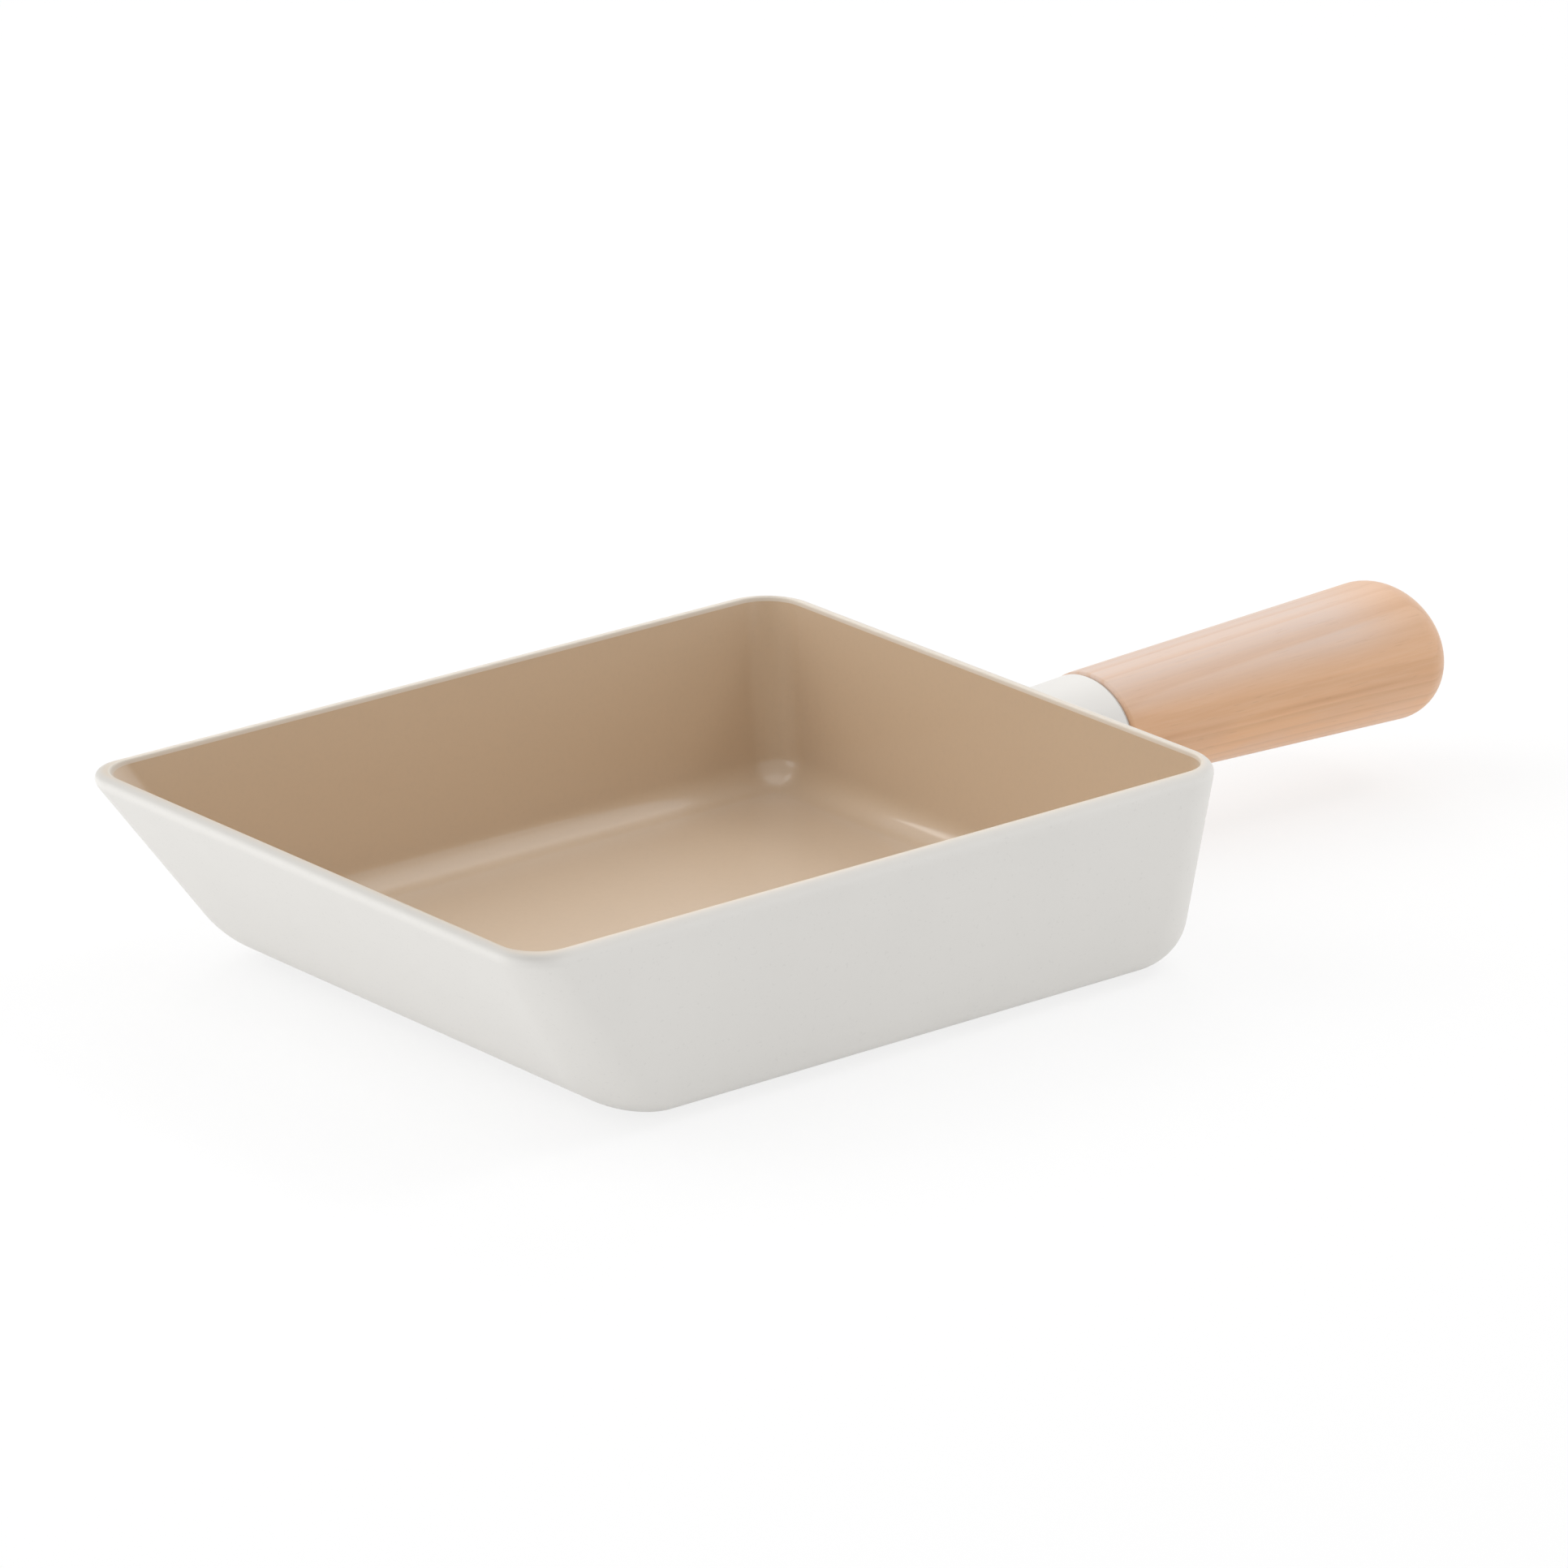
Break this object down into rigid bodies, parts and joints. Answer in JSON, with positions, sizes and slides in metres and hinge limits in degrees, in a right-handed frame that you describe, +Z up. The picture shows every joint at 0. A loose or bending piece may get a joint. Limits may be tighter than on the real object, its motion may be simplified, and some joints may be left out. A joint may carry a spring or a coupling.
{
  "type": "egg pan",
  "caption": "Small deep oblong pan with a long sloping front wall, a coated cast body, a pale lined well and a short bolted wooden handle, for rolled omelettes.",
  "frame": {"origin": "on the plane that the pan stands on, straight under the middle of the rim", "axes": "+Z up out of the well, +X towards the handle, so -X is the sloping front, and +Y completes a right-handed frame along the rim's short sides"},
  "size_m": [0.3022, 0.15, 0.0455],
  "materials": {
    "white_coat": "satin off-white ceramic coat over cast aluminium, slightly pebbled, warmer along the rim",
    "beige_coat": "semi-gloss non-stick ceramic coat",
    "plate_steel": "fine brushed stainless steel",
    "beech_wood": "fine sanded and oiled beech, grain along the handle",
    "grey_silicone": "matte silicone rubber",
    "plated_steel": "zinc-plated steel",
    "stainless_steel": "turned stainless steel"
  },
  "bodies": {
    "root": {"pan_body": "white_coat", "interior_coating": "beige_coat", "induction_plate": "plate_steel", "wood_handle": "beech_wood", "joint_ring": "grey_silicone", "threaded_insert": "plated_steel", "handle_bolt": "stainless_steel", "spring_washer": "plated_steel", "flat_washer": "stainless_steel"}
  },
  "joints": []
}
